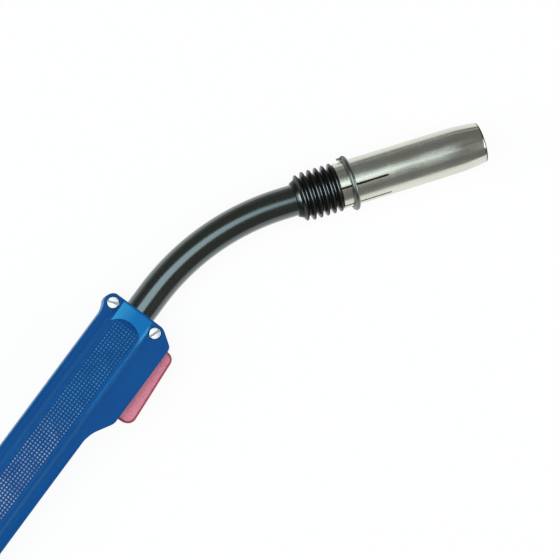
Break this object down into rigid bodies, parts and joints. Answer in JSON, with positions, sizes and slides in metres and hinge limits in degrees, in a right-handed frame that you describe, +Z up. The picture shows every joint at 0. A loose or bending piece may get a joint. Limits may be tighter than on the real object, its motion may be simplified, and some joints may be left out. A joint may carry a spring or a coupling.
{
  "type": "mig welding torch",
  "caption": "Hand-held MIG welding torch: two-half grip with side trigger, bent neck, ribbed collar and slit gas nozzle held by a wire ring.",
  "frame": {"origin": "centre of the cable inlet, at the rear end of the handle", "axes": "lying on its side: +X forward along the handle, the trigger and the neck's bend toward -Y, +Z up across the thickness with the screw heads on top"},
  "size_m": [0.3781, 0.1274, 0.033],
  "materials": {
    "blue_shell": "moulded, satin",
    "black_ring": "moulded",
    "bright_screw": "zinc plated",
    "zinc_nut": "zinc plated",
    "pink_trigger": "moulded",
    "ground_steel": "ground",
    "spring_steel": "drawn wire",
    "switch_black": "moulded",
    "plunger_cream": "moulded",
    "tinned_tab": "tinned",
    "lead_sheath": "extruded",
    "connector_sleeve": "moulded",
    "brass": "turned",
    "o_ring_rubber": "moulded",
    "copper": "drawn",
    "insulation": "extruded",
    "black_jacket": "gloss coated",
    "collar_black": "moulded",
    "seat_brown": "darkened",
    "ceramic_cream": "sintered",
    "nickel": "nickel plated"
  },
  "bodies": {
    "handle": {"handle_shell_near": "blue_shell", "handle_shell_far": "blue_shell", "rear_collar": "black_ring", "handle_screws": "bright_screw", "handle_nuts": "zinc_nut", "trigger_pin": "ground_steel", "trigger_spring": "spring_steel", "switch_body": "switch_black", "switch_terminals": "tinned_tab", "switch_pins": "ground_steel", "trigger_leads": "lead_sheath", "lead_connectors": "connector_sleeve", "cable_block": "brass", "union_nut": "brass", "neck_flange": "brass", "neck_o_rings": "o_ring_rubber", "neck_conductor": "copper", "neck_insulation": "insulation", "neck_jacket": "black_jacket", "wire_liner": "spring_steel", "ribbed_collar": "collar_black", "nozzle_seat": "seat_brown", "tip_holder": "brass", "gas_diffuser": "ceramic_cream", "contact_tip": "copper"},
    "trigger": {"trigger": "pink_trigger"},
    "plunger": {"switch_plunger": "plunger_cream"},
    "nozzle": {"gas_nozzle": "nickel", "nozzle_ring": "spring_steel"}
  },
  "joints": [
    {"name": "trigger_press", "type": "hinge", "parent": "handle", "child": "trigger", "pos_m": [0.167, -0.0209, 0], "axis": [0, 0, -1], "range_deg": [0, 5], "stiffness_Nm_per_rad": 0.6, "springref_deg": -8.59, "deforming": ["trigger_spring"]},
    {"name": "plunger_travel", "type": "slide", "parent": "handle", "child": "plunger", "axis": [0, 1, 0], "range_m": [0, 0.0011]},
    {"name": "nozzle_pull", "type": "slide", "parent": "handle", "child": "nozzle", "axis": [0.809, -0.5878, 0], "range_m": [0, 0.09]}
  ],
  "couplings": [
    {"joint": "plunger_travel", "follows": "trigger_press", "m_per_rad": 0.0115}
  ]
}
